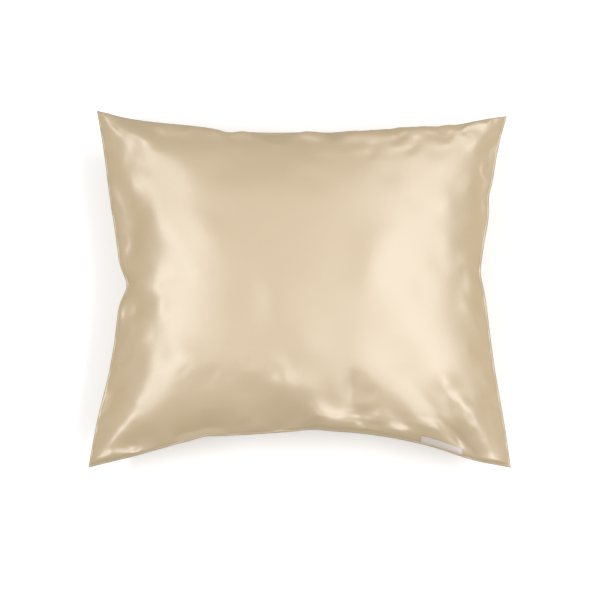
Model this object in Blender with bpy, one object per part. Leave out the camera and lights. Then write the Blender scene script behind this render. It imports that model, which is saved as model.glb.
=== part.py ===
"""A satin pillowcase drawn over a plump pillow, lying on its back.

Empty and pressed flat, the case is 70 by 60 cm. Its two panels are sewn together and turned out, so the
edge is a plain knife edge. The pillow swells them: the sides draw in, the corners stay out as thin ears,
a ridge runs in from each ear, and the cloth folds softly where the seam gathers it. The floor flattens
the back panel. A blank strip of tape, the label, is sewn on the front panel by the lower seam.

+Z is up and +Y is towards the upper edge. The origin is on the floor, under the middle of the outline.
Sizes and places are in millimetres, and MM turns them into the scene's metres. A point of a panel is
named by u, from -1 on the left seam to 1 on the right one, and v, from -1 below to 1 above.
"""

import math
from collections import namedtuple

import bmesh
import bpy
import numpy as np
from mathutils import Vector

MM = 0.001

# --- the seam --------------------------------------------------------------------------------------

FLAT_LENGTH = {"left": 600, "right": 600, "bottom": 700, "top": 700}  # of each side of the flat case

# Where the four corners lie, by (u, v).
CORNERS = {
    (-1, -1): (-344, -294, 66),
    (1, -1): (344, -294, 64),
    (-1, 1): (-338, 300, 68),
    (1, 1): (345, 290, 71),
}

# How far each side draws in from the straight line between its corners.
# Columns: place along the side, in u or v, and inset.
INSETS = {
    "left": [(-1, 0), (-0.74, 14), (-0.46, 33), (-0.14, 44), (0.14, 43), (0.5, 26), (0.8, 12), (1, 0)],
    "right": [(-1, 0), (-0.76, 11), (-0.46, 26), (-0.1, 39), (0.12, 46), (0.4, 34), (0.66, 24), (0.86, 12), (1, 0)],
    "bottom": [(-1, 0), (-0.78, 18), (-0.46, 46), (-0.2, 53), (0.1, 58), (0.34, 52), (0.6, 35), (0.84, 10), (1, 0)],
    "top": [(-1, 0), (-0.86, 13), (-0.5, 29), (-0.3, 37), (0.1, 36), (0.45, 29), (0.76, 18), (0.92, 5), (1, 0)],
}

# Small gathers, which draw the seam in further. Reach is how far into the panels each is felt.
Gather = namedtuple("Gather", "side place half_width inset reach")
GATHERS = [
    Gather("left", 0.0, 24, 14, 60),
    Gather("right", 0.52, 16, 4, 30),
    Gather("right", 0.08, 18, 3, 30),
    Gather("bottom", -0.44, 16, 3, 24),
    Gather("bottom", 0.06, 18, 3, 24),
    Gather("top", -0.36, 16, 4, 30),
    Gather("top", 0.14, 16, 2, 24),
]

SIDE_RISE = 22  # how much higher the seam lies along the sides than at the corners
SIDE_RISE_SHARPNESS = 2.6  # more keeps the drop to the corners nearer to them

# --- the filling -----------------------------------------------------------------------------------

CROWN = 108  # height of the front panel over the seam
BELLY = 132  # depth that the back panel would hang under it, if no floor flattened it
ACROSS_BLUNTNESS = 2.2  # 2 rounds the crown like a parabola; more makes it flatter and its flanks steeper
UP_BLUNTNESS = 2.7
RIDGE_SHARPNESS = 1.5  # how crisply two flanks meet on the ridge that runs in from a corner
EDGE_SWELL = 0.82  # under 1 the panels swell out steeply from the seam
CROWN_SHIFT = -0.11  # how far the highest place lies to one side, in u
EAR_THINNING = 0.5  # share of the thickness that an ear loses at its tip
EAR_THINNING_SHARPNESS = 4
FLOOR_FILLET = 14  # half the height over which the back panel rounds up off the floor
FLOOR_PRESS = 0.5  # what would hang this little over the floor is pressed flat on it

# --- folds of the front panel ----------------------------------------------------------------------

# Soft ridges and swells (rise over 0) and troughs and dips (under 0), each along its course of (x, y).
Fold = namedtuple("Fold", "rise half_width course")
FOLDS = {
    # the upper left ear, and the shoulder that its crest runs into
    "upper_left_ear": Fold(10, 12, [(-330, 296), (-305, 272), (-277, 253), (-246, 235)]),
    "upper_left_crest": Fold(5, 13, [(-291, 220), (-285, 185), (-271, 147)]),
    "upper_left_crease": Fold(-3, 12, [(-265, 201), (-245, 165)]),
    "upper_left_dip": Fold(-4, 24, [(-228, 184), (-214, 145)]),
    # the left side, gathered at its middle
    "left_upper_hollow": Fold(-8, 15, [(-282, 134), (-279, 108)]),
    "left_middle_hollow": Fold(-11, 16, [(-271, 93), (-266, 71), (-270, 42)]),
    "left_lower_hollow": Fold(-8, 14, [(-260, -28), (-268, -60)]),
    "gather_ridge": Fold(9, 12, [(-283, 8), (-253, -4), (-232, -10)]),
    "left_bump": Fold(4, 10, [(-265, -97), (-245, -89)]),
    "left_swell": Fold(4, 30, [(-220, 86), (-198, 55)]),
    "left_point": Fold(5, 30, [(-162, 89), (-123, 46)]),
    "left_shallow": Fold(-3, 30, [(-197, 11), (-190, -21)]),
    # the top edge, slack on the left and full on the right
    "top_slack": Fold(-6, 26, [(-109, 206), (0, 206)]),
    "top_roll": Fold(8, 16, [(30, 218), (97, 221), (170, 228), (228, 238)]),
    "top_right_roll": Fold(10, 15, [(246, 253), (279, 262), (317, 276)]),
    "upper_right_crest": Fold(9, 13, [(292, 249), (337, 279)]),
    "upper_right_dip": Fold(-4, 36, [(129, 171), (226, 169)]),
    # the right side
    "right_upper_trough": Fold(-14, 15, [(322, 232), (306, 200), (294, 155)]),
    "right_middle_trough": Fold(-12, 14, [(294, 155), (289, 75)]),
    "right_hollow": Fold(-8, 12, [(295, -7), (292, -44)]),
    "right_low_hollow": Fold(-10, 12, [(306, -90), (299, -122)]),
    "right_lower_trough": Fold(-8, 14, [(313, -173), (324, -233)]),
    "right_shoulder": Fold(3, 26, [(252, 81), (269, 25)]),
    "right_swell": Fold(5, 34, [(112, 54), (160, 62)]),
    # the crown
    "crown_swell": Fold(5, 36, [(-47, -5), (-37, -85)]),
    "crown_low_swell": Fold(4, 34, [(-3, -92), (16, -112)]),
    "crown_dip": Fold(-3, 32, [(-79, 99), (72, 96)]),
    # the lower left, where the cloth falls away from a soft shelf
    "lower_left_shelf": Fold(7, 25, [(-237, -146), (-149, -150), (-36, -144)]),
    "lower_left_shoulder": Fold(4, 15, [(-244, -157), (-254, -191)]),
    "lower_left_flank": Fold(3, 20, [(-212, -192), (-244, -207), (-265, -237)]),
    "lower_left_slack": Fold(-14, 17, [(-293, -270), (-241, -255), (-177, -243), (-120, -235), (-88, -228)]),
    "lower_middle_slack": Fold(-9, 16, [(-70, -206), (-44, -226), (-12, -226)]),
    "lower_left_side_dip": Fold(-7, 13, [(-326, -237), (-306, -193), (-285, -162), (-276, -112)]),
    "lower_left_ear": Fold(16, 13, [(-327, -288), (-307, -283), (-289, -261)]),
    "lower_left_crest": Fold(3, 10, [(-308, -264), (-291, -239), (-274, -209)]),
    # the lower middle and right, where the cloth is bunched over the seam
    "lower_patch": Fold(4, 12, [(-25, -159), (-19, -186)]),
    "lower_bump": Fold(22, 17, [(20, -208), (39, -223), (77, -227)]),
    "lower_bump_root": Fold(8, 12, [(77, -224), (100, -230), (125, -222)]),
    "lower_right_roll": Fold(12, 14, [(125, -219), (164, -234), (231, -233)]),
    "lower_trough": Fold(-9, 18, [(80, -151), (90, -194)]),
    "lower_right_shallow": Fold(-6, 34, [(127, -126), (198, -131)]),
    "lower_right_dip": Fold(-5, 26, [(178, -178), (214, -209)]),
    "lower_right_trough": Fold(-14, 13, [(224, -226), (258, -246), (282, -281)]),
    "lower_right_crest": Fold(9, 13, [(249, -190), (275, -212), (297, -242), (321, -285)]),
    "lower_right_ear": Fold(9, 12, [(302, -289), (328, -291)]),
    "lower_right_side_dip": Fold(-5, 12, [(338, -262), (318, -185)]),
}
FOLD_FADE = 3  # the folds reach their full rise where the filling gives 1 / 3 of the thickness

# --- the label -------------------------------------------------------------------------------------

LABEL_MIDDLE_U = 0.672
LABEL_LENGTH = 72
LABEL_WIDTH = 16
LABEL_THICKNESS = 1
LABEL_FROM_SEAM = 4  # cloth between the seam and the label's lower edge
LABEL_GAP = 0.44  # between the label and the front panel

# --- mesh density ----------------------------------------------------------------------------------

CELLS_ACROSS = 60
CELLS_UP = 52
EDGE_CROWDING = 0.7  # 0 spaces the grid evenly; nearer 1 crowds it towards the seam
LABEL_CELLS = (24, 4)

SATIN_COLOUR = (0.75, 0.63, 0.46)
TAPE_COLOUR = (0.78, 0.76, 0.73)


# --- the shape of the panels -----------------------------------------------------------------------


def smooth_through(rows, at):
    """The smooth curve through rows of (place, value), read at one place."""
    places, values = (np.array(column, float) for column in zip(*rows))
    slopes = np.gradient(values, places)
    i = int(np.clip(np.searchsorted(places, at) - 1, 0, len(places) - 2))
    step = places[i + 1] - places[i]
    t = (at - places[i]) / step
    return (
        values[i] * (1 + 2 * t) * (1 - t) ** 2
        + slopes[i] * step * t * (1 - t) ** 2
        + values[i + 1] * t * t * (3 - 2 * t)
        + slopes[i + 1] * step * t * t * (t - 1)
    )


def side_inset(side, place, depth):
    """How far a side draws a point in, at this place along it and this share of the way to the far side."""
    inset = smooth_through(INSETS[side], place) * (1 - depth)
    across = "left" if side in ("bottom", "top") else "bottom"
    for gather in GATHERS:
        if gather.side == side:
            along = (place - gather.place) * FLAT_LENGTH[side] / 2 / gather.half_width
            inward = depth * FLAT_LENGTH[across] / gather.reach
            inset += gather.inset * math.exp(-(along**2) - inward**2)
    return inset


def seam_sheet(u, v):
    """The point at (u, v) of the sheet that the drawn-in seam would span with no filling."""
    point = Vector((0, 0, 0))
    for (corner_u, corner_v), corner in CORNERS.items():
        point += Vector(corner) * (1 + u * corner_u) * (1 + v * corner_v) / 4
    across, up = (1 + u) / 2, (1 + v) / 2
    point.x += side_inset("left", v, across) - side_inset("right", v, 1 - across)
    point.y += side_inset("bottom", u, up) - side_inset("top", u, 1 - up)
    point.z += SIDE_RISE * (1 - abs(u * v) ** SIDE_RISE_SHARPNESS)
    return point


def fullness(u, v):
    """The share of the full thickness that the filling gives here: 0 on the seam, 1 at the crown."""
    u_from_crown = u - CROWN_SHIFT * (1 - u * u)
    across = 1 - abs(u_from_crown) ** ACROSS_BLUNTNESS
    up = 1 - abs(v) ** UP_BLUNTNESS
    if min(across, up) < 1e-9:
        return 0.0
    flank = ((across**-RIDGE_SHARPNESS + up**-RIDGE_SHARPNESS) / 2) ** (-1 / RIDGE_SHARPNESS)
    ear = 1 - EAR_THINNING * abs(u * v) ** EAR_THINNING_SHARPNESS
    return flank**EDGE_SWELL * ear


def dabs(fold):
    """The fold as a row of round dabs half its half width apart, which together rise as high as it says."""
    spots = [Vector(fold.course[0])]
    for start, end in zip(fold.course, fold.course[1:]):
        start, end = Vector(start), Vector(end)
        steps = math.ceil((end - start).length / (fold.half_width / 2))
        spots += [start.lerp(end, (i + 1) / steps) for i in range(steps)]
    middle = spots[len(spots) // 2]
    overlap = sum(math.exp(-(((spot - middle).length / fold.half_width) ** 2)) for spot in spots)
    return [(spot.x, spot.y, fold.half_width, fold.rise / overlap) for spot in spots]


DAB_X, DAB_Y, DAB_HALF_WIDTH, DAB_RISE = np.array([dab for fold in FOLDS.values() for dab in dabs(fold)]).T


def fold_height(x, y):
    """The height that the folds add to the front panel at this place."""
    distance = np.hypot(x - DAB_X, y - DAB_Y)
    return float(np.sum(DAB_RISE * np.exp(-((distance / DAB_HALF_WIDTH) ** 2))))


def front_point(u, v):
    """A point of the front panel, in metres."""
    point = seam_sheet(u, v)
    full = fullness(u, v)
    point.z += CROWN * full + fold_height(point.x, point.y) * min(1.0, FOLD_FADE * full)
    return point * MM


def back_point(u, v):
    """A point of the back panel, in metres, rounded up off the floor or flat on it."""
    point = seam_sheet(u, v)
    height = point.z - BELLY * fullness(u, v)
    if height < FLOOR_FILLET:
        height = max(0.0, height + FLOOR_FILLET) ** 2 / (4 * FLOOR_FILLET)
    point.z = height if height > FLOOR_PRESS else 0.0
    return point * MM


# --- building --------------------------------------------------------------------------------------


def crowded(t):
    """A grid place from -1 to 1, moved towards the seam, where the cloth turns most."""
    reach = math.pi / 2 * EDGE_CROWDING
    return math.sin(reach * t) / math.sin(reach)


def add_panel(bm, shape, faces_up):
    """Adds one panel: a grid over (u, v) moved onto its shape, each cell cut along its better diagonal."""
    corners = bmesh.ops.create_grid(bm, x_segments=CELLS_ACROSS, y_segments=CELLS_UP, size=1)["verts"]
    places = {vertex: (crowded(vertex.co.x), crowded(vertex.co.y)) for vertex in corners}
    cells = list({face for vertex in corners for face in vertex.link_faces})
    cells.sort(key=lambda face: face.index)
    for vertex, place in places.items():
        vertex.co = shape(*place)
    if not faces_up:
        bmesh.ops.reverse_faces(bm, faces=cells)
    for cell in cells:
        a, b, c, d = cell.verts
        middle = shape(*(sum(places[vertex][i] for vertex in cell.verts) / 4 for i in range(2)))
        cut_ac = ((a.co + c.co) / 2 - middle).length
        cut_bd = ((b.co + d.co) / 2 - middle).length
        bmesh.utils.face_split(cell, *((a, c) if cut_ac < cut_bd else (b, d)))


def satin_material():
    return material("satin", SATIN_COLOUR, roughness=0.35)


def tape_material():
    return material("tape", TAPE_COLOUR, roughness=0.7)


def material(name, colour, roughness):
    made = bpy.data.materials.new(name)
    made.use_nodes = True
    shader = made.node_tree.nodes["Principled BSDF"]
    shader.inputs["Base Color"].default_value = (*colour, 1)
    shader.inputs["Roughness"].default_value = roughness
    shader.inputs["Metallic"].default_value = 0
    return made


def add_object(name, bm, finish):
    mesh = bpy.data.meshes.new(name)
    bm.to_mesh(mesh)
    bm.free()
    mesh.materials.append(finish)
    mesh.shade_smooth()
    made = bpy.data.objects.new(name, mesh)
    bpy.context.scene.collection.objects.link(made)
    return made


def build_pillowcase():
    bm = bmesh.new()
    add_panel(bm, front_point, faces_up=True)
    add_panel(bm, back_point, faces_up=False)
    bmesh.ops.remove_doubles(bm, verts=bm.verts, dist=0.01 * MM)
    on_floor = [face for face in bm.faces if all(vertex.co.z == 0 for vertex in face.verts)]
    bmesh.ops.dissolve_faces(bm, faces=on_floor)
    return add_object("pillowcase", bm, satin_material())


def v_beside_lower_seam(u, cloth_length):
    """The v at which this much cloth, in millimetres, lies between a point of the front and the lower seam."""
    step = 0.0005
    v, walked, last = -1.0, 0.0, front_point(u, -1.0)
    while walked < cloth_length * MM:
        v += step
        here = front_point(u, v)
        walked += (here - last).length
        last = here
    return v


def build_label():
    """A strip over the front panel, one long edge along the lower seam."""
    half_side = FLAT_LENGTH["bottom"] / 2
    step = 0.002
    bm = bmesh.new()
    bmesh.ops.create_grid(bm, x_segments=LABEL_CELLS[0], y_segments=LABEL_CELLS[1], size=1)
    for vertex in bm.verts:
        u = LABEL_MIDDLE_U + vertex.co.x * LABEL_LENGTH / 2 / half_side
        v = v_beside_lower_seam(u, LABEL_FROM_SEAM + LABEL_WIDTH * (1 + vertex.co.y) / 2)
        along = front_point(u + step, v) - front_point(u - step, v)
        inward = front_point(u, v + step) - front_point(u, v - step)
        vertex.co = front_point(u, v) + along.cross(inward).normalized() * LABEL_GAP * MM
    label = add_object("label", bm, tape_material())
    thickness = label.modifiers.new("thickness", "SOLIDIFY")
    thickness.thickness = LABEL_THICKNESS * MM
    thickness.offset = 1
    return label


def centre_on_origin(objects):
    """Moves the objects together, so that the middle of their box stands over the origin."""
    points = [vertex.co for item in objects for vertex in item.data.vertices]
    low = Vector(min(point[axis] for point in points) for axis in range(3))
    high = Vector(max(point[axis] for point in points) for axis in range(3))
    shift = Vector((-(low.x + high.x) / 2, -(low.y + high.y) / 2, 0))
    for item in objects:
        for vertex in item.data.vertices:
            vertex.co += shift


for old in list(bpy.data.objects):
    bpy.data.objects.remove(old)

centre_on_origin([build_pillowcase(), build_label()])
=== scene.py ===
# %% [markdown]
# # A filled satin pillowcase
#
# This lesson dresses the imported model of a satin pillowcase, which lies on its back on the floor.
# The frame comes first: it is the plain solid of the filled case and of its label, at their real size.
# Everything made here sits in that frame, in metres, with +Z up and +Y towards the upper edge.

# %% Load the frame
import math
from collections import namedtuple

import bmesh
import bpy
import numpy as np
from mathutils import Matrix, Vector
from mathutils.bvhtree import BVHTree
from mathutils.geometry import barycentric_transform


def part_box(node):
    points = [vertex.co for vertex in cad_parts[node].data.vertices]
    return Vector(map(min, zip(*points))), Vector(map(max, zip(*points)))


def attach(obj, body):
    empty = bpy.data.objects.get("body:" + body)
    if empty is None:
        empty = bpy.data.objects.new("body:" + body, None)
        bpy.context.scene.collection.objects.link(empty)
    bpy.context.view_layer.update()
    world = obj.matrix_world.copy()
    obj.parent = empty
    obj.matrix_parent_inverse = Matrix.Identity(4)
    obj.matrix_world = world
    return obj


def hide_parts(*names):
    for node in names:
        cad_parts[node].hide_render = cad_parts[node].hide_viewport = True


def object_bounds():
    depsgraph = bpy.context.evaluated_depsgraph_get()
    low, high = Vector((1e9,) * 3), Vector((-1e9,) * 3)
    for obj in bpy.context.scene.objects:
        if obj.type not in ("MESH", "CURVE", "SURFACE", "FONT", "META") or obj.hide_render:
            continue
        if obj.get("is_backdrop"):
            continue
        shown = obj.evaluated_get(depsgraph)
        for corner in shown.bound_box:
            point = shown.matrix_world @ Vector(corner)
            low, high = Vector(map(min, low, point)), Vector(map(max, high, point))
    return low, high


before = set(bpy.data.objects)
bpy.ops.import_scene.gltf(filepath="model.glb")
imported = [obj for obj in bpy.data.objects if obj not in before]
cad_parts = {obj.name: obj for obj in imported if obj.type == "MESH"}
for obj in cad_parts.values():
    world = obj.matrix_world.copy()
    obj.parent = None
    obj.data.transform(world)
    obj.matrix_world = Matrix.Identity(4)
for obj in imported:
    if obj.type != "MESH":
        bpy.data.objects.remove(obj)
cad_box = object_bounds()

MM = 0.001
bpy.ops.object.select_all(action="DESELECT")
low, high = cad_box
print("the solid is %.0f x %.0f x %.0f mm" % tuple((high - low) / MM))

# %% [markdown]
# The camera stands at the photograph's angle before anything is modelled, so that each step can be judged
# from there. It looks down at the pillow's face from 8 degrees off the vertical, on the side of the lower
# edge. A long lens from far off keeps the outline's sides nearly parallel, as a product photograph does.

# %% Camera
VIEW_TILT = math.radians(8)
VIEW_DISTANCE = 3.4
VIEW_TARGET = Vector((0, -0.022, 0.07))
LENS = 124.1  # millimetres, as is the width of the sensor
SENSOR = 36

bpy.ops.object.camera_add()
camera = bpy.context.object
camera.data.lens = LENS
camera.data.sensor_width = SENSOR
camera.location = VIEW_TARGET + VIEW_DISTANCE * Vector((0, -math.sin(VIEW_TILT), math.cos(VIEW_TILT)))
camera.rotation_euler = (VIEW_TILT, 0, 0)
bpy.context.scene.camera = camera
print("the camera is %.1f m away and takes in %.2f m" % (VIEW_DISTANCE, SENSOR / LENS * VIEW_DISTANCE))

# %% [markdown]
# A maker sews the case from two flat rectangles. This lesson does the same: two grids of 70 x 60 cm cloth
# share one seam. First the seam's course is read from the solid, where faces that look up meet faces that
# look down. The solid's mesh comes as loose triangles, so a copy of it is merged before it is read.


# %% Read the seam from the solid
def merged_copy(node):
    """The node's mesh as a bmesh, with its loose triangles joined."""
    bm = bmesh.new()
    bm.from_mesh(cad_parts[node].data)
    bmesh.ops.remove_doubles(bm, verts=bm.verts, dist=1e-6)
    bm.normal_update()
    return bm


def seam_loop(bm):
    """The seam's points in order, as an array, starting anywhere."""
    edges = [
        edge
        for edge in bm.edges
        if len(edge.link_faces) == 2 and edge.link_faces[0].normal.z * edge.link_faces[1].normal.z < 0
    ]
    onward = {}
    for edge in edges:
        a, b = edge.verts
        onward.setdefault(a, []).append(b)
        onward.setdefault(b, []).append(a)
    start = here = edges[0].verts[0]
    last, loop = None, []
    while True:
        loop.append(here.co[:])
        ahead = [vertex for vertex in onward[here] if vertex is not last]
        last, here = here, ahead[0]
        if here is start:
            return np.array(loop)


solid = merged_copy("pillowcase")
solid_surface = BVHTree.FromBMesh(solid)
seam = seam_loop(solid)
print("the seam has %d points" % len(seam))


# %% [markdown]
# The loop is cut at its four corners into four sides, each running the way its cloth does: left to right,
# or from the lower edge up. A point of a side is then found by its share of the side's length, which is how
# cloth lies along a seam that isn't stretched.


# %% Four sides from one loop
def corner_index(sign_x, sign_y):
    return int(np.argmax(seam[:, 0] * sign_x + seam[:, 1] * sign_y))


def side(start, end):
    """The seam's points from one corner to the next, the short way round."""
    count = len(seam)
    forward = [(start + i) % count for i in range((end - start) % count + 1)]
    backward = [(start - i) % count for i in range((start - end) % count + 1)]
    return seam[min(forward, backward, key=len)]


def along(points, shares):
    """The points that lie at these shares, from 0 to 1, of a polyline's length."""
    walked = np.r_[0, np.cumsum(np.linalg.norm(np.diff(points, axis=0), axis=1))]
    reached = np.asarray(shares) * walked[-1]
    return np.stack([np.interp(reached, walked, points[:, axis]) for axis in range(3)], axis=1)


lower_left, lower_right = corner_index(-1, -1), corner_index(1, -1)
upper_left, upper_right = corner_index(-1, 1), corner_index(1, 1)
SIDES = {
    "bottom": side(lower_left, lower_right),
    "top": side(upper_left, upper_right),
    "left": side(lower_left, upper_left),
    "right": side(lower_right, upper_right),
}
for name, points in SIDES.items():
    print("%s: %.0f mm along the seam" % (name, np.linalg.norm(np.diff(points, axis=0), axis=1).sum() / MM))

# %% [markdown]
# Each panel is a grid with the size of the flat cloth, so that its own UV map is the sewing pattern: one
# unit is one metre of cloth, whatever shape the cloth takes later, and the weave will follow that map.
# Cloth puckers most beside a seam, so the grid is drawn closer there: the sine in `crowded` does that.


# %% Two flat panels
CLOTH = (0.70, 0.60)  # width and height of the flat case
CELLS = (110, 94)
GRID_CROWDING = 0.72  # 0 spaces the grid evenly; nearer 1 draws it towards the seam


def crowded(shares, crowding):
    """Places from 0 to 1, moved towards the nearer end."""
    reach = math.pi / 2 * crowding
    return 0.5 + 0.5 * np.sin(reach * (2 * shares - 1)) / math.sin(reach)


def read_points(mesh):
    points = np.zeros(len(mesh.vertices) * 3)
    mesh.vertices.foreach_get("co", points)
    return points.reshape(-1, 3)


def write_points(mesh, points):
    mesh.vertices.foreach_set("co", np.asarray(points, float).ravel())
    mesh.update()


def add_flat_panel(name):
    bpy.ops.object.select_all(action="DESELECT")
    bpy.ops.mesh.primitive_grid_add(x_subdivisions=CELLS[0], y_subdivisions=CELLS[1], size=1, calc_uvs=True)
    panel = bpy.context.object
    panel.name = name
    points = read_points(panel.data)
    points[:, :2] = crowded(points[:, :2] + 0.5, GRID_CROWDING) * CLOTH
    write_points(panel.data, points)
    corner_points = np.zeros(len(panel.data.loops), int)
    panel.data.loops.foreach_get("vertex_index", corner_points)
    panel.data.uv_layers.active.data.foreach_set("uv", points[corner_points, :2].ravel())
    return panel


front = add_flat_panel("pillow_cover")
back = add_flat_panel("back_panel")
print("two panels of %.0f x %.0f cm" % (CLOTH[0] * 100, CLOTH[1] * 100))

# %% [markdown]
# The back panel is turned over and the two are joined along their edges only, as the seam joins the real
# ones. Merging by distance would also weld the panels where they lie flat on each other, so only the open
# edges are selected before it. The seam's edges get a full crease, which keeps them sharp when the mesh is
# subdivided later.

# %% Sew them round the edge
TOUCHING = 1e-5  # points closer than this are one

bpy.ops.object.mode_set(mode="EDIT")
bpy.ops.mesh.flip_normals()
bpy.ops.object.mode_set(mode="OBJECT")
front.select_set(True)
bpy.context.view_layer.objects.active = front
bpy.ops.object.join()
cover = front
bpy.ops.object.mode_set(mode="EDIT")
bpy.ops.mesh.select_mode(type="VERT")
bpy.ops.mesh.select_all(action="DESELECT")
bpy.ops.mesh.select_non_manifold(extend=False, use_wire=False, use_multi_face=False, use_non_contiguous=False)
bpy.ops.mesh.remove_doubles(threshold=TOUCHING)
bpy.ops.transform.edge_crease(value=1)
bpy.ops.object.mode_set(mode="OBJECT")
print("sewn: %d points, %d faces" % (len(cover.data.vertices), len(cover.data.polygons)))


# %% [markdown]
# The sewn cloth is then laid round the solid. A point's place in plan comes from the four sides of the seam,
# blended over the panel, and its height from a ray on to the solid, down for the front and up for the back.
# Cloth turns steeply down to the seam, so seen from above more of it lies near the edge.


# %% Lay the panels round the solid
EDGE_CROWDING = 0.62

pattern = read_points(cover.data)[:, :2]
on_seam = np.any((pattern < TOUCHING) | (pattern > np.array(CLOTH) - TOUCHING), axis=1)
faces_up = np.zeros(len(pattern), bool)
for polygon in cover.data.polygons:
    if polygon.normal.z > 0:
        faces_up[list(polygon.vertices)] = True
is_front = faces_up & ~on_seam
is_back = ~faces_up & ~on_seam


def plan(places):
    """Where points of the flat cloth lie on the sheet that the seam spans."""
    u, v = crowded(places / CLOTH, EDGE_CROWDING).T
    bottom, top = along(SIDES["bottom"], u), along(SIDES["top"], u)
    left, right = along(SIDES["left"], v), along(SIDES["right"], v)
    u, v = u[:, None], v[:, None]
    corners = (
        (1 - u) * (1 - v) * SIDES["bottom"][0]
        + u * (1 - v) * SIDES["bottom"][-1]
        + (1 - u) * v * SIDES["top"][0]
        + u * v * SIDES["top"][-1]
    )
    return (1 - v) * bottom + v * top + (1 - u) * left + u * right - corners


laid = plan(pattern)
for i in np.flatnonzero(~on_seam):
    away = 1 if is_front[i] else -1
    hit = solid_surface.ray_cast(Vector((*laid[i, :2], away)), Vector((0, 0, -away)))[0]
    if hit is not None:
        laid[i, 2] = hit.z
write_points(cover.data, laid)
print("laid on the solid: %.0f mm high" % (np.ptp(laid[:, 2]) / MM))
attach(cover, "root")
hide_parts("pillowcase")

# %% [markdown]
# The label is sewn to the front, so the cloth under it stays where the solid has it. Its place on the
# pattern is found by going the other way: from the middle of the solid label to the nearest cloth.

# %% Find the label's place on the cloth
LABEL = (0.072, 0.016)  # length and width of the tape
LABEL_FROM_SEAM = 0.004
STILL_ROUND_LABEL = 0.004  # cloth round the label that keeps its place too

label_low, label_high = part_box("label")
label_middle = np.array((label_low + label_high) / 2)
nearest = np.flatnonzero(is_front)[np.argmin(np.linalg.norm(laid[is_front] - label_middle, axis=1))]
label_place = np.array([pattern[nearest, 0], LABEL_FROM_SEAM + LABEL[1] / 2])
from_label = np.abs(pattern - label_place) - np.array(LABEL) / 2
under_label = is_front & np.all(from_label < STILL_ROUND_LABEL, axis=1)
print("the label's middle is %.0f mm along the lower seam" % (label_place[0] / MM))

# %% [markdown]
# Now the filling presses the cloth out. Blender's cloth simulation does this with a pressure and no gravity,
# for 20 frames from the laid shape. The seam, the back where it lies on the floor and the cloth under the
# label are pinned. A thread that draws a seam in leaves more cloth beside it than it needs, which is what
# makes a real edge pucker: here the springs grow a little in a band along the seam. Blender reads a negative
# shrink as growth, and the vertex group says how much of it a point is spared.

# %% Press the cloth out
FILLING = dict(frames=20, quality=6, pressure=2, stiffness=15, shear=5, bending=1.0, mass=0.15, growth=0.015)
GROWTH_BAND = (0.005, 0.06)  # from the seam: full growth at the first depth, none at the second
RESTING = 0.002  # cloth this near the floor rests on it
MOST_MOVE = 0.02

depth = np.minimum(pattern, np.array(CLOTH) - pattern).min(axis=1)


def add_weights(name, weights):
    group = cover.vertex_groups.new(name=name)
    for value in np.unique(weights):
        group.add(np.flatnonzero(weights == value).tolist(), float(value), "REPLACE")
    return name


def select_only(*pieces):
    bpy.ops.object.select_all(action="DESELECT")
    for piece in pieces:
        piece.select_set(True)
    bpy.context.view_layer.objects.active = pieces[0]


def press_out():
    """Runs the cloth simulation on the laid cover and returns where its points end up."""
    select_only(cover)
    cloth = cover.modifiers.new("cloth", "CLOTH")
    settings = cloth.settings
    settings.quality = FILLING["quality"]
    settings.mass = FILLING["mass"]
    settings.tension_stiffness = settings.compression_stiffness = FILLING["stiffness"]
    settings.shear_stiffness = FILLING["shear"]
    settings.bending_stiffness = FILLING["bending"]
    settings.use_pressure = True
    settings.uniform_pressure_force = FILLING["pressure"]
    settings.effector_weights.gravity = 0
    pinned = on_seam | under_label | (is_back & (laid[:, 2] < RESTING))
    settings.vertex_group_mass = add_weights("pinned", pinned.astype(float))
    inner = (depth - GROWTH_BAND[0]) / (GROWTH_BAND[1] - GROWTH_BAND[0])
    spared = np.where(depth < GROWTH_BAND[0], 1 - depth / GROWTH_BAND[0], np.clip(inner, 0, 1))
    settings.vertex_group_shrink = add_weights("spared", np.round(spared, 2))
    settings.shrink_min = -FILLING["growth"]
    settings.shrink_max = 0
    for number in range(1, FILLING["frames"] + 1):
        bpy.context.scene.frame_set(number)
    evaluated = cover.evaluated_get(bpy.context.evaluated_depsgraph_get())
    pressed = read_points(evaluated.data)
    cover.modifiers.remove(cloth)
    bpy.context.scene.frame_set(1)
    return pressed


move = press_out() - laid
distance = np.linalg.norm(move, axis=1)
move *= np.minimum(1, MOST_MOVE / np.maximum(distance, TOUCHING * MM))[:, None]
settled = laid + move
settled[:, 2] = np.maximum(settled[:, 2], 0)
write_points(cover.data, settled)
print("the filling moves the cloth by %.1f mm" % (distance.mean() / MM))

# %% [markdown]
# One level of subdivision rounds off the cells, which are about 3 mm beside the seam. The modifier is
# applied, because the next steps place points by hand.

# %% Subdivide
finer = cover.modifiers.new("finer", "SUBSURF")
finer.levels = finer.render_levels = 1
select_only(cover)
bpy.ops.object.modifier_apply(modifier="finer")
bpy.ops.object.shade_smooth()
print("finer: %d faces" % len(cover.data.polygons))

# %% [markdown]
# After this, each point's place on the pattern is read again, from the UV map.


# %% Read the finer cloth
def read_pattern(mesh):
    """The place of each point on the flat cloth, and which points belong to the front panel."""
    corner_points = np.zeros(len(mesh.loops), int)
    mesh.loops.foreach_get("vertex_index", corner_points)
    uv = np.zeros(len(mesh.loops) * 2)
    mesh.uv_layers.active.data.foreach_get("uv", uv)
    uv = uv.reshape(-1, 2)
    places = np.zeros((len(mesh.vertices), 2))
    places[corner_points] = uv
    cells = uv.reshape(-1, 4, 2)
    a, b = cells[:, 2] - cells[:, 0], cells[:, 3] - cells[:, 1]
    turn = a[:, 0] * b[:, 1] - a[:, 1] * b[:, 0]
    fronts = np.zeros(len(mesh.vertices), bool)
    fronts[corner_points.reshape(-1, 4)[turn > 0].ravel()] = True
    return places, fronts


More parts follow.
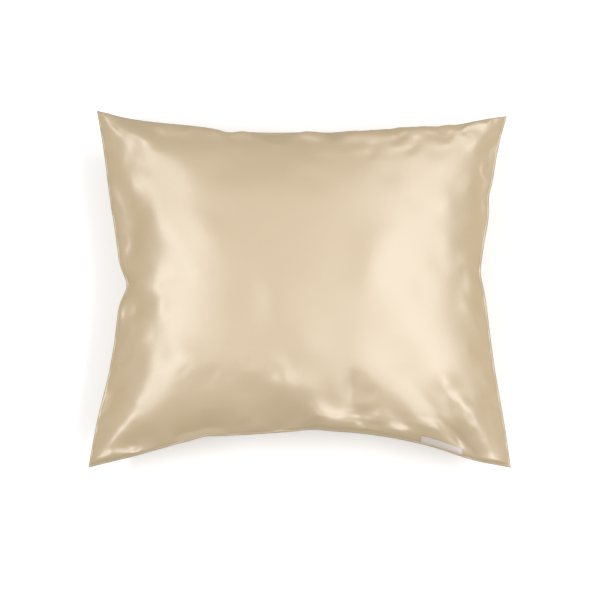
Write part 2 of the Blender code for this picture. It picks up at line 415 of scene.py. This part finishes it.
pattern, is_front = read_pattern(cover.data)
depth = np.minimum(pattern, np.array(CLOTH) - pattern).min(axis=1)
print("%d points on the front" % is_front.sum())

# %% [markdown]
# Satin shows every small turn of its surface, so the finer creases are listed on top of what the
# simulation gives. Their courses follow the bright crests and the dark dips of the photograph. Each is a
# row of soft round dabs along a course, which together rise, or sink, by the height in the table. They
# lift the front straight up, and fade over the last few millimetres to the seam. A trough stops at a
# shallow slope that rises from the seam, so that the front never sinks into the back.

# %% Creases from a table
Crease = namedtuple("Crease", "rise half_width course")  # millimetres, courses as seen from above
LOWEST_SLOPE = 0.3
CREASE_FADE = 0.006
DAB_REACH = 3  # half widths
CREASES = {
    "upper_left_ear": Crease(13, 14, [(-330, 288), (-320, 264), (-306, 244)]),
    "upper_left_tip": Crease(9, 12, [(-332, 292), (-300, 280)]),
    "upper_left_band_dip": Crease(-1.5, 18, [(-254, 192), (-244, 182)]),
    "upper_left_side_hollow": Crease(-3, 16, [(-288, 206), (-274, 190)]),
    "upper_left_hollow": Crease(-2.5, 26, [(-228, 200), (-208, 150), (-205, 126)]),
    "left_seam_swell": Crease(11, 13, [(-312, 165), (-304, 132), (-291, 120)]),
    "left_dip": Crease(-13, 16, [(-262, 104), (-278, 78), (-272, 52)]),
    "left_point": Crease(3, 20, [(-242, 112), (-228, 70)]),
    "gather_root": Crease(4.5, 13, [(-263, 6), (-258, -10), (-248, -26)]),
    "gather_shoulder": Crease(3, 20, [(-248, 12), (-222, 12)]),
    "gather_swell": Crease(5, 17, [(-224, -26), (-228, -58)]),
    "lower_seam_swell": Crease(7, 9, [(-293, -34), (-296, -62)]),
    "gather_dip": Crease(-3, 9, [(-262, -40), (-264, -56)]),
    "left_low_swell": Crease(4.5, 20, [(-236, -110), (-244, -142)]),
    "lower_left_rise": Crease(2.5, 24, [(-215, -95), (-206, -120), (-160, -150)]),
    "lower_left_shelf": Crease(4.5, 24, [(-200, -120), (-150, -132), (-112, -128)]),
    "lower_left_flank": Crease(3, 24, [(-214, -168), (-184, -196)]),
    "lower_left_side_dip": Crease(-14, 20, [(-298, -172), (-312, -205)]),
    "lower_left_corner_dip": Crease(-3, 10, [(-324, -236), (-326, -248)]),
    "lower_left_ear": Crease(14, 10, [(-338, -288), (-302, -282), (-262, -276)]),
    "lower_left_seam_dip_a": Crease(-10, 15, [(-268, -257), (-234, -251)]),
    "lower_left_seam_dip_b": Crease(-16, 17, [(-198, -250), (-160, -246), (-122, -234)]),
    "seam_swell": Crease(4, 11, [(-91, -220), (-80, -230)]),
    "seam_dip": Crease(-6, 15, [(-50, -234), (-30, -238)]),
    "lower_hollow": Crease(-4, 26, [(-92, -186), (-78, -166)]),
    "patch": Crease(2, 14, [(-40, -162), (-34, -177)]),
    "patch_root": Crease(3.5, 14, [(-24, -197), (2, -206)]),
    "ridge_back": Crease(9, 26, [(-50, -168), (-16, -174), (12, -180), (18, -204)]),
    "ridge_root": Crease(26, 16, [(26, -234), (62, -239), (100, -242), (136, -248), (168, -255)]),
    "ridge_foot": Crease(5, 14, [(26, -238), (60, -241)]),
    "ridge_pocket": Crease(-2, 16, [(82, -172), (90, -184)]),
    "fold_root": Crease(1.5, 12, [(126, -208), (150, -218)]),
    "fold_dip": Crease(-3, 12, [(107, -188), (114, -183)]),
    "lower_right_hollow": Crease(-4, 28, [(130, -128), (150, -126), (180, -126)]),
    "lower_right_root_dip": Crease(-3, 13, [(192, -228), (214, -235)]),
    "lower_right_fold_dip_a": Crease(-3, 12, [(236, -215), (251, -197)]),
    "lower_right_fold_dip_b": Crease(-6.5, 13, [(253, -236), (266, -260)]),
    "lower_right_swell": Crease(4.5, 15, [(226, -161), (242, -168)]),
    "lower_right_foot": Crease(2, 12, [(228, -232), (238, -246)]),
    "lower_right_crest_a": Crease(3.5, 10, [(276, -204), (294, -208)]),
    "lower_right_crest_b": Crease(3, 9, [(258, -220), (276, -238)]),
    "lower_right_ear": Crease(8, 8, [(292, -286), (328, -291)]),
    "right_seam_dip_a": Crease(-4, 11, [(288, -28), (292, -42)]),
    "right_seam_dip_b": Crease(-4, 9, [(303, -20), (305, -50)]),
    "right_shelf": Crease(3, 20, [(238, 66), (245, 34), (250, 4)]),
    "right_swell": Crease(7, 16, [(270, 42), (280, 20), (280, -14), (277, -46)]),
    "right_mid_dip": Crease(-5, 14, [(304, 70), (302, 108), (290, 136)]),
    "right_high_dip": Crease(-5, 14, [(296, 166), (303, 190), (314, 210), (326, 234)]),
    "upper_right_dip": Crease(-3, 11, [(290, 250), (302, 256)]),
    "upper_right_swell": Crease(4, 12, [(280, 224), (307, 238)]),
    "right_shoulder": Crease(2, 16, [(240, 136), (236, 118)]),
    "upper_right_ear": Crease(11, 10, [(262, 263), (310, 276), (335, 285)]),
    "top_roll_e": Crease(18, 14, [(158, 250), (212, 257), (252, 262)]),
    "top_roll_d": Crease(17, 15, [(72, 238), (112, 240), (150, 243)]),
    "top_roll_c": Crease(14, 12, [(-2, 250), (38, 238)]),
    "top_roll_b": Crease(13, 14, [(-84, 250), (-150, 253)]),
    "top_roll_a": Crease(10, 14, [(-164, 255), (-240, 260)]),
    "top_sag": Crease(-4.5, 32, [(-134, 174), (-90, 194), (-30, 188)]),
    "top_low_dip": Crease(-3.5, 24, [(6, 170), (24, 150)]),
    "top_right_dip": Crease(-1.5, 22, [(132, 176), (152, 164)]),
    "top_right_hollow": Crease(-1.5, 20, [(176, 138), (196, 118)]),
    "top_right_corner_dip": Crease(-1.5, 18, [(206, 220), (224, 218)]),
    "middle_dip": Crease(-3, 32, [(-76, -20), (-70, -66)]),
    "middle_swell": Crease(3, 30, [(118, 28), (108, -12)]),
    "right_hollow": Crease(-2.5, 26, [(190, -8), (200, -28)]),
    "upper_left_shoulder": Crease(5, 13, [(-299, 241), (-283, 227)]),
    "lower_left_crest_a": Crease(4, 11, [(-262, -196), (-272, -222), (-284, -252)]),
    "lower_left_crest_b": Crease(6, 11, [(-292, -236), (-312, -262), (-330, -274)]),
    "lower_left_crest_c": Crease(5, 14, [(-312, -266), (-294, -260), (-274, -244)]),
    "lower_left_crest_dip": Crease(-3, 10, [(-276, -218), (-266, -204)]),
    "lower_shelf_edge": Crease(1.5, 16, [(-116, -124), (-72, -117), (-42, -112)]),
    "above_root": Crease(-3, 11, [(76, -219), (106, -219)]),
    "top_roll_low": Crease(3, 13, [(84, 217), (114, 214)]),
    "top_right_fold": Crease(4, 14, [(128, 214), (160, 228), (196, 240)]),
    "top_gap": Crease(-6, 12, [(-58, 252), (-28, 252)]),
    "curl_by_right_seam": Crease(2.5, 4, [(308, 204), (300, 196), (299, 184), (306, 176)]),
}


def dabs(crease):
    """The crease as rows of x, y, half width and rise, half a half width apart."""
    spots = [Vector(crease.course[0])]
    for start, end in zip(crease.course, crease.course[1:]):
        start, end = Vector(start), Vector(end)
        steps = math.ceil((end - start).length / (crease.half_width / 2))
        spots += [start.lerp(end, (i + 1) / steps) for i in range(steps)]
    middle = spots[len(spots) // 2]
    overlap = sum(math.exp(-(((spot - middle).length / crease.half_width) ** 2)) for spot in spots)
    return [(spot.x, spot.y, crease.half_width, crease.rise / overlap) for spot in spots]


def raised_by(creases, points):
    """How far the creases raise each point, in metres."""
    raised = np.zeros(len(points))
    for crease in creases.values():
        for x, y, half_width, rise in dabs(crease):
            apart = np.hypot(points[:, 0] - x * MM, points[:, 1] - y * MM) / (half_width * MM)
            near = apart < DAB_REACH
            raised[near] += rise * MM * np.exp(-(apart[near] ** 2))
    return raised


points = read_points(cover.data)
fade = np.clip(depth / CREASE_FADE, 0, 1) * is_front
raised = raised_by(CREASES, points) * fade
lowest = np.minimum(points[:, 2], plan(pattern)[:, 2] + LOWEST_SLOPE * depth)
points[:, 2] = np.maximum(points[:, 2] + raised, lowest)
write_points(cover.data, points)
print("creases from %.1f to %.1f mm" % (raised.min() / MM, raised.max() / MM))

# %% [markdown]
# A seam that is sewn inside out and turned leaves a thin lip: for a few millimetres the two panels lie
# almost flat on each other, stiffened by the cloth turned in behind them. Points that near the seam are
# drawn to the sheet that the seam spans, one panel just over it and the other just under. The lip isn't
# quite straight either, so a slow sum of waves tips it up and down.

# %% The lip along the seam
LIP = 0.003  # width
LIP_ROOT = 0.004  # over which the panels part
LIP_THICKNESS = 0.0012
LIP_WAVES = [(0.0008, 0.045, 0.4), (0.0005, 0.023, 1.9), (0.0003, 0.013, 4.2)]  # height, length, start

points = read_points(cover.data)
near = np.flatnonzero((depth > TOUCHING) & (depth < LIP + LIP_ROOT))
edge = pattern[near].copy()
from_edges = np.stack([edge[:, 0], CLOTH[0] - edge[:, 0], edge[:, 1], CLOTH[1] - edge[:, 1]], axis=1)
nearest_side = from_edges.argmin(axis=1)
axis = nearest_side // 2
edge[np.arange(len(near)), axis] = np.where(nearest_side % 2 == 0, 0, np.array(CLOTH)[axis])
inward = np.zeros_like(edge)
inward[np.arange(len(near)), axis] = np.where(nearest_side % 2 == 0, 1, -1)
foot = plan(edge)
way = plan(edge + inward * LIP) - foot
way /= np.linalg.norm(way, axis=1, keepdims=True)
walked = edge.sum(axis=1)
wave = sum(height * np.sin(2 * math.pi * walked / length + start) for height, length, start in LIP_WAVES)
share = depth[near] / LIP
lip = foot + way * depth[near][:, None]
lip[:, 2] += np.where(is_front[near], 1, -1) * LIP_THICKNESS / 2 * np.minimum(1, 2 * share)
lip[:, 2] += wave * np.minimum(1, share)
drawn = 1 - np.clip((depth[near] - LIP) / LIP_ROOT, 0, 1)
drawn = (drawn * drawn * (3 - 2 * drawn))[:, None]
points[near] = points[near] * (1 - drawn) + lip * drawn
points[:, 2] = np.maximum(points[:, 2], 0)
write_points(cover.data, points)
print("the lip takes in %d points" % len(near))

# %% [markdown]
# The label is a strip of woven tape with its ends folded under. It is made flat on the pattern, as it is
# before it is sewn on, and each of its points is then carried to where the cloth has gone: the cell of the
# pattern that the point lies in is found, and its place in that cell holds in space too. A tree over the
# flat cells finds the cell.


# %% Carry a point from the pattern to the cloth
ROUND_LABEL = 0.012  # how far past the label cells are gathered


def read_normals(mesh):
    normals = np.zeros(len(mesh.vertices) * 3)
    mesh.vertices.foreach_get("normal", normals)
    return normals.reshape(-1, 3)


def cells_near(centre, reach):
    """The front cells near a place on the pattern: their flat corners, corners in space and normals."""
    points, normals = read_points(cover.data), read_normals(cover.data)
    flat_corners, corners, corner_normals = [], [], []
    for polygon in cover.data.polygons:
        ids = list(polygon.vertices)
        if is_front[ids].all() and np.all(np.abs(pattern[ids[0]] - centre) < reach):
            for triangle in (ids[:3], [ids[0], ids[2], ids[3]]):
                flat_corners.append([Vector((*pattern[i], 0)) for i in triangle])
                corners.append([Vector(points[i]) for i in triangle])
                corner_normals.append([Vector(normals[i]) for i in triangle])
    return flat_corners, corners, corner_normals


flat_corners, corners, corner_normals = cells_near(label_place, np.array(LABEL) / 2 + ROUND_LABEL)
cell_tree = BVHTree.FromPolygons(
    [corner for triangle in flat_corners for corner in triangle],
    [(3 * i, 3 * i + 1, 3 * i + 2) for i in range(len(flat_corners))],
)


def on_cloth(x, y, height):
    """The point in space at this height over the cloth, for a place on the pattern."""
    place, _, found, _ = cell_tree.find_nearest(Vector((x, y, 0)))
    here = barycentric_transform(place, *flat_corners[found], *corners[found])
    up = barycentric_transform(place, *flat_corners[found], *corner_normals[found]).normalized()
    return here + up * height


print("%d flat triangles under the label" % len(flat_corners))

# %% [markdown]
# The tape itself starts as a grid with the label's real size. The folded ends stand a little higher than
# the single tape between them, and the row of stitches at each end presses them down again. Its thickness
# comes last, from a Solidify modifier that is applied.

# %% The label
TAPE_CELLS = dict(x_subdivisions=72, y_subdivisions=16)  # one to a millimetre
TAPE_THICKNESS = 0.0005
TAPE_GAP = 0.00035  # between the cloth and the tape, so that they never touch
FOLDED_END = 0.006
FOLD_STEP = 0.0015  # over which the folded end comes down to the single tape
FOLD_RISE = 0.5  # of the tape's thickness
STITCH_INSET = 0.0022  # of the stitches from the tape's end
DENT_DEPTH = 0.3  # of the tape's thickness, under the stitches
DENT_HALF_WIDTH = 0.0008


def tape_height(from_end):
    """How high the tape's underside lies over the cloth, by the distance to its nearer end."""
    fold = FOLD_RISE * TAPE_THICKNESS * (1 - np.clip((from_end - FOLDED_END) / FOLD_STEP, 0, 1))
    pressed = DENT_DEPTH * TAPE_THICKNESS * np.exp(-(((from_end - STITCH_INSET) / DENT_HALF_WIDTH) ** 2))
    return TAPE_GAP + fold - pressed


bpy.ops.object.select_all(action="DESELECT")
bpy.ops.mesh.primitive_grid_add(size=1, calc_uvs=True, **TAPE_CELLS)
label = bpy.context.object
label.name = "label_tape"
tape = read_points(label.data)[:, :2] * LABEL
corner_points = np.zeros(len(label.data.loops), int)
label.data.loops.foreach_get("vertex_index", corner_points)
label.data.uv_layers.active.data.foreach_set("uv", (tape + np.array(LABEL) / 2)[corner_points].ravel())
heights = tape_height(LABEL[0] / 2 - np.abs(tape[:, 0]))
write_points(label.data, [on_cloth(*(label_place + place), height) for place, height in zip(tape, heights)])
thickness = label.modifiers.new("thickness", "SOLIDIFY")
thickness.thickness = TAPE_THICKNESS
thickness.offset = 1
bpy.ops.object.modifier_apply(modifier="thickness")
bpy.ops.object.shade_smooth_by_angle(angle=math.radians(40))
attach(label, "root")
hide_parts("label")
print("the label has %d faces" % len(label.data.polygons))

# %% [markdown]
# Each end is held by one row of short stitches across the tape. From any distance a stitch is a flattened
# ball of thread, so one ball is made, and copies of it are flattened, turned to the cloth and joined into one
# piece.

# %% The stitches
STITCHES = 9  # in a row
STITCH = (0.00045, 0.0014, 0.0003)  # across the row, along it, height
STITCH_HEIGHT = TAPE_GAP + TAPE_THICKNESS * 1.15  # of its middle, just over the tape

bpy.ops.object.select_all(action="DESELECT")
bpy.ops.mesh.primitive_uv_sphere_add(segments=10, ring_count=6, radius=0.5)
ball = bpy.context.object


def add_stitch(x, y):
    """A copy of the ball, flattened and turned to lie on the tape at this place on the pattern."""
    place = on_cloth(x, y, STITCH_HEIGHT)
    across = on_cloth(x + MM, y, STITCH_HEIGHT) - place
    ahead = on_cloth(x, y + MM, STITCH_HEIGHT) - place
    up = across.cross(ahead).normalized()
    turned = Matrix((ahead.cross(up).normalized(), ahead.normalized(), up)).transposed().to_4x4()
    stitch = ball.copy()
    stitch.data = ball.data.copy()
    stitch.matrix_world = Matrix.Translation(place) @ turned @ Matrix.Diagonal((*STITCH, 1))
    bpy.context.collection.objects.link(stitch)
    return stitch


stitches = []
step = LABEL[1] / STITCHES
for end in (-1, 1):
    x = label_place[0] + end * (LABEL[0] / 2 - STITCH_INSET)
    for i in range(STITCHES):
        stitches.append(add_stitch(x, label_place[1] - LABEL[1] / 2 + (i + 0.5) * step))
bpy.data.objects.remove(ball)
bpy.context.view_layer.update()
select_only(*stitches)
bpy.ops.object.join()
bpy.ops.object.transform_apply()
bpy.ops.object.shade_smooth()
thread = bpy.context.object
thread.name = "label_stitches"
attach(thread, "root")
print("%d stitches" % len(stitches))

# %% [markdown]
# Cloth is made of threads, so the satin and the tape share one node group that draws them. A brick texture
# serves well: in satin each long thread floats over several crossing ones, like a long brick, and the next
# row starts further along. Its mortar is the dip between threads. The group turns that into a height, and
# reads a map in metres, so that the threads have their real size.


# %% Threads, as a node group
def new_group(name, inputs, outputs):
    """An empty node group with named sockets, and its two end nodes."""
    group = bpy.data.node_groups.new(name, "ShaderNodeTree")
    for socket, kind, value in inputs:
        made = group.interface.new_socket(name=socket, in_out="INPUT", socket_type=kind)
        if value is not None:
            made.default_value = value
    for socket, kind in outputs:
        group.interface.new_socket(name=socket, in_out="OUTPUT", socket_type=kind)
    return group, group.nodes.new("NodeGroupInput"), group.nodes.new("NodeGroupOutput")


VECTOR, FLOAT = "NodeSocketVector", "NodeSocketFloat"
threads, given, result = new_group(
    "threads",
    [("Vector", VECTOR, None), ("Threads per Metre", FLOAT, 3000.0), ("Float Length", FLOAT, 5.0)],
    [("Height", FLOAT)],
)
sized = threads.nodes.new("ShaderNodeVectorMath")
sized.operation = "SCALE"
bricks = threads.nodes.new("ShaderNodeTexBrick")
bricks.offset = 0.4
bricks.inputs["Scale"].default_value = 1
bricks.inputs["Row Height"].default_value = 1
bricks.inputs["Mortar Size"].default_value = 0.16
bricks.inputs["Mortar Smooth"].default_value = 1
height = threads.nodes.new("ShaderNodeMath")
height.operation = "SUBTRACT"
height.inputs[0].default_value = 1
threads.links.new(given.outputs["Vector"], sized.inputs[0])
threads.links.new(given.outputs["Threads per Metre"], sized.inputs["Scale"])
threads.links.new(sized.outputs["Vector"], bricks.inputs["Vector"])
threads.links.new(given.outputs["Float Length"], bricks.inputs["Brick Width"])
threads.links.new(bricks.outputs["Fac"], height.inputs[1])
threads.links.new(height.outputs["Value"], result.inputs["Height"])
print("group %s made" % threads.name)

# %% [markdown]
# No cloth is quite even. A second group gives slow changes of tone and of polish over the panel, and fine
# streaks along the threads, where some are a little thicker than others. It puts out a tint near white, to
# be multiplied into the colour, and a small value to be added to the roughness.

# %% Unevenness, as a node group
unevenness, given, result = new_group(
    "unevenness",
    [
        ("Vector", VECTOR, None),
        ("Patches per Metre", FLOAT, 9.0),
        ("Streaks per Metre", FLOAT, 700.0),
        ("Tone Change", FLOAT, 0.05),
        ("Roughness", FLOAT, 0.4),
        ("Roughness Change", FLOAT, 0.05),
    ],
    [("Tone", FLOAT), ("Roughness", FLOAT), ("Height", FLOAT)],
)
patches = unevenness.nodes.new("ShaderNodeTexNoise")
patches.inputs["Detail"].default_value = 3
stretched = unevenness.nodes.new("ShaderNodeVectorMath")
stretched.operation = "MULTIPLY"
stretched.inputs[1].default_value = (0.04, 1, 1)
streaks = unevenness.nodes.new("ShaderNodeTexNoise")
streaks.inputs["Detail"].default_value = 2
both = unevenness.nodes.new("ShaderNodeMath")
both.operation = "ADD"
tone = unevenness.nodes.new("ShaderNodeMapRange")
darker = unevenness.nodes.new("ShaderNodeMath")
darker.operation = "SUBTRACT"
darker.inputs[0].default_value = 1
rougher = unevenness.nodes.new("ShaderNodeMapRange")
roughness = unevenness.nodes.new("ShaderNodeMath")
roughness.operation = "ADD"
for spread in (tone, rougher):
    spread.inputs["From Min"].default_value = 0.6
    spread.inputs["From Max"].default_value = 1.4
rougher.inputs["To Min"].default_value = 0
for start, end in [
    (given.outputs["Vector"], patches.inputs["Vector"]),
    (given.outputs["Patches per Metre"], patches.inputs["Scale"]),
    (given.outputs["Vector"], stretched.inputs[0]),
    (stretched.outputs["Vector"], streaks.inputs["Vector"]),
    (given.outputs["Streaks per Metre"], streaks.inputs["Scale"]),
    (patches.outputs["Fac"], both.inputs[0]),
    (streaks.outputs["Fac"], both.inputs[1]),
    (both.outputs["Value"], tone.inputs["Value"]),
    (given.outputs["Tone Change"], darker.inputs[1]),
    (darker.outputs["Value"], tone.inputs["To Min"]),
    (tone.outputs["Result"], result.inputs["Tone"]),
    (both.outputs["Value"], rougher.inputs["Value"]),
    (given.outputs["Roughness Change"], rougher.inputs["To Max"]),
    (rougher.outputs["Result"], roughness.inputs[0]),
    (given.outputs["Roughness"], roughness.inputs[1]),
    (roughness.outputs["Value"], result.inputs["Roughness"]),
    (streaks.outputs["Fac"], result.inputs["Height"]),
]:
    unevenness.links.new(start, end)
print("group %s made" % unevenness.name)

# %% [markdown]
# Both cloths are then one recipe with other numbers. Satin is smooth because of its long floats: a strong
# gloss, spread wide by the curved threads, over a champagne dye. The gloss comes from a high index of
# refraction rather than from metal, because its highlights in the photograph are pale and not gold.


# %% Woven materials
def woven_material(name, colour, ior, weave, uneven, thread_depth, streak_depth):
    """A cloth material on the piece's UV map, which is in metres of cloth."""
    made = bpy.data.materials.new(name)
    made.use_nodes = True
    nodes, links = made.node_tree.nodes, made.node_tree.links
    shader = nodes["Principled BSDF"]
    shader.inputs["IOR"].default_value = ior
    uv = nodes.new("ShaderNodeUVMap")
    woven = nodes.new("ShaderNodeGroup")
    woven.node_tree = threads
    changed = nodes.new("ShaderNodeGroup")
    changed.node_tree = unevenness
    for node, values in ((woven, weave), (changed, uneven)):
        links.new(uv.outputs["UV"], node.inputs["Vector"])
        for socket, value in values.items():
            node.inputs[socket].default_value = value
    tinted = nodes.new("ShaderNodeMix")
    tinted.data_type = "RGBA"
    tinted.blend_type = "MULTIPLY"
    tinted.inputs["Factor"].default_value = 1
    tinted.inputs["A"].default_value = (*colour, 1)
    links.new(changed.outputs["Tone"], tinted.inputs["B"])
    links.new(tinted.outputs["Result"], shader.inputs["Base Color"])
    links.new(changed.outputs["Roughness"], shader.inputs["Roughness"])
    bumps = []
    for source, depth_of_bump in ((changed, streak_depth), (woven, thread_depth)):
        bump = nodes.new("ShaderNodeBump")
        bump.inputs["Distance"].default_value = depth_of_bump
        links.new(source.outputs["Height"], bump.inputs["Height"])
        bumps.append(bump)
    links.new(bumps[0].outputs["Normal"], bumps[1].inputs["Normal"])
    links.new(bumps[1].outputs["Normal"], shader.inputs["Normal"])
    return made


def dress(piece, finish):
    piece.data.materials.clear()
    piece.data.materials.append(finish)


print("%s and %s are ready to be used" % (threads.name, unevenness.name))

# %% [markdown]
# Now the numbers. The satin's threads lie 0.4 mm apart, and each floats over several others. The tape's are
# a little further apart and cross more often, and the stitches are of fine twisted thread. The bumps are only
# hundredths of a millimetre deep: from the photograph's distance they soften the gloss, and nothing more.

# %% Satin, tape and thread
SATIN_COLOUR = (0.44, 0.33, 0.19)
TAPE_COLOUR = (0.62, 0.56, 0.53)
THREAD_COLOUR = (0.42, 0.36, 0.31)

satin = woven_material(
    "champagne_satin",
    SATIN_COLOUR,
    ior=2.5,
    weave={"Threads per Metre": 2500.0, "Float Length": 5.0},
    uneven={"Tone Change": 0.04, "Roughness": 0.425, "Roughness Change": 0.04},
    thread_depth=0.00002,
    streak_depth=0.00003,
)
tape_cloth = woven_material(
    "woven_tape",
    TAPE_COLOUR,
    ior=1.45,
    weave={"Threads per Metre": 2200.0, "Float Length": 1.6},
    uneven={"Patches per Metre": 60.0, "Tone Change": 0.08, "Roughness": 0.6, "Roughness Change": 0.1},
    thread_depth=0.00008,
    streak_depth=0.00004,
)
stitch_thread = woven_material(
    "stitch_thread",
    THREAD_COLOUR,
    ior=1.5,
    weave={"Threads per Metre": 9000.0, "Float Length": 4.0},
    uneven={"Patches per Metre": 300.0, "Tone Change": 0.1, "Roughness": 0.5, "Roughness Change": 0.1},
    thread_depth=0.00003,
    streak_depth=0.00002,
)
for piece, finish in ((cover, satin), (label, tape_cloth), (thread, stitch_thread)):
    dress(piece, finish)
    print("%s wears %s, of %d nodes" % (piece.name, finish.name, len(finish.node_tree.nodes)))

# %% [markdown]
# The floor is plain. To the camera it is bright white, but every other ray sees a darker, warmer tone,
# so where the satin turns down to the seam it mirrors that tone and gets less bounced light: this is
# painted shade on the satin's steep sides. One floor plays both parts: its material asks whether a ray
# comes straight from the camera, and shows the white tone to those rays and the painted shade to all others.

# %% The floor
FLOOR_WIDTH = 6
FLOOR_SEEN = (0.97, 0.97, 0.97, 1)
# painted shade: the darker, warmer tone the floor shows to reflections and bounced light
FLOOR_PAINTED_SHADE = (0.49, 0.45, 0.36, 1)

bpy.ops.object.select_all(action="DESELECT")
bpy.ops.mesh.primitive_plane_add(size=FLOOR_WIDTH)
floor = bpy.context.object
floor.name = "floor"
painted_shade_floor_finish = bpy.data.materials.new("white_floor_with_painted_shade")
painted_shade_floor_finish.use_nodes = True
paper_shader = painted_shade_floor_finish.node_tree.nodes["Principled BSDF"]
paper_shader.inputs["Roughness"].default_value = 0.9
seen_by = painted_shade_floor_finish.node_tree.nodes.new("ShaderNodeLightPath")
floor_white_and_painted_shade = painted_shade_floor_finish.node_tree.nodes.new("ShaderNodeMix")
floor_white_and_painted_shade.data_type = "RGBA"
# reflections and bounced light see the painted shade tone, and the camera sees the white one
floor_white_and_painted_shade.inputs["A"].default_value = FLOOR_PAINTED_SHADE
floor_white_and_painted_shade.inputs["B"].default_value = FLOOR_SEEN
painted_shade_floor_finish.node_tree.links.new(seen_by.outputs["Is Camera Ray"], floor_white_and_painted_shade.inputs["Factor"])
painted_shade_floor_finish.node_tree.links.new(floor_white_and_painted_shade.outputs["Result"], paper_shader.inputs["Base Color"])
dress(floor, painted_shade_floor_finish)
floor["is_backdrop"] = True
print("the floor is %.0f m wide" % FLOOR_WIDTH)

# %% [markdown]
# Two long soft boxes hang to the left and right of the pillow. The narrow one on the left gives the tight
# bright band there, and the wide one on the right the broad band. Both are low enough that the crown between
# them mirrors neither. An even white sky fills in the rest.

# %% The lights
SKY = 0.56
SOFTBOXES = {
    "left_softbox": dict(place=(-1.99, -0.07, 2.3), length=4.8, width=0.35, watts=68),
    "right_softbox": dict(place=(1.83, -0.07, 2.3), length=4.8, width=1.9, watts=84),
}
for name, box in SOFTBOXES.items():
    bpy.ops.object.light_add(type="AREA", location=box["place"])
    light = bpy.context.object
    light.name = name
    light.data.shape = "RECTANGLE"
    light.data.size = box["length"]
    light.data.size_y = box["width"]
    light.data.energy = box["watts"]
    light.rotation_euler = (Vector((0, 0, 0.1)) - light.location).to_track_quat("-Z", "Y").to_euler()

world = bpy.data.worlds.new("studio")
bpy.context.scene.world = world
world.use_nodes = True
world.node_tree.nodes["Background"].inputs["Color"].default_value = (1, 1, 1, 1)
world.node_tree.nodes["Background"].inputs["Strength"].default_value = SKY
bpy.context.scene.view_settings.view_transform = "Standard"
print("%d soft boxes of %.0f W in all" % (len(SOFTBOXES), sum(box["watts"] for box in SOFTBOXES.values())))

# %% [markdown]
# The dressed pillow keeps the solid's size, apart from what cloth may stand proud of it. Both boxes are
# written down, so that they can be compared after each render.

# %% Sizes
visual_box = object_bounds()
for name, (first, last) in (("solid", cad_box), ("dressed", visual_box)):
    print("%s: %.1f x %.1f x %.1f mm" % (name, *((last - first) / MM)))
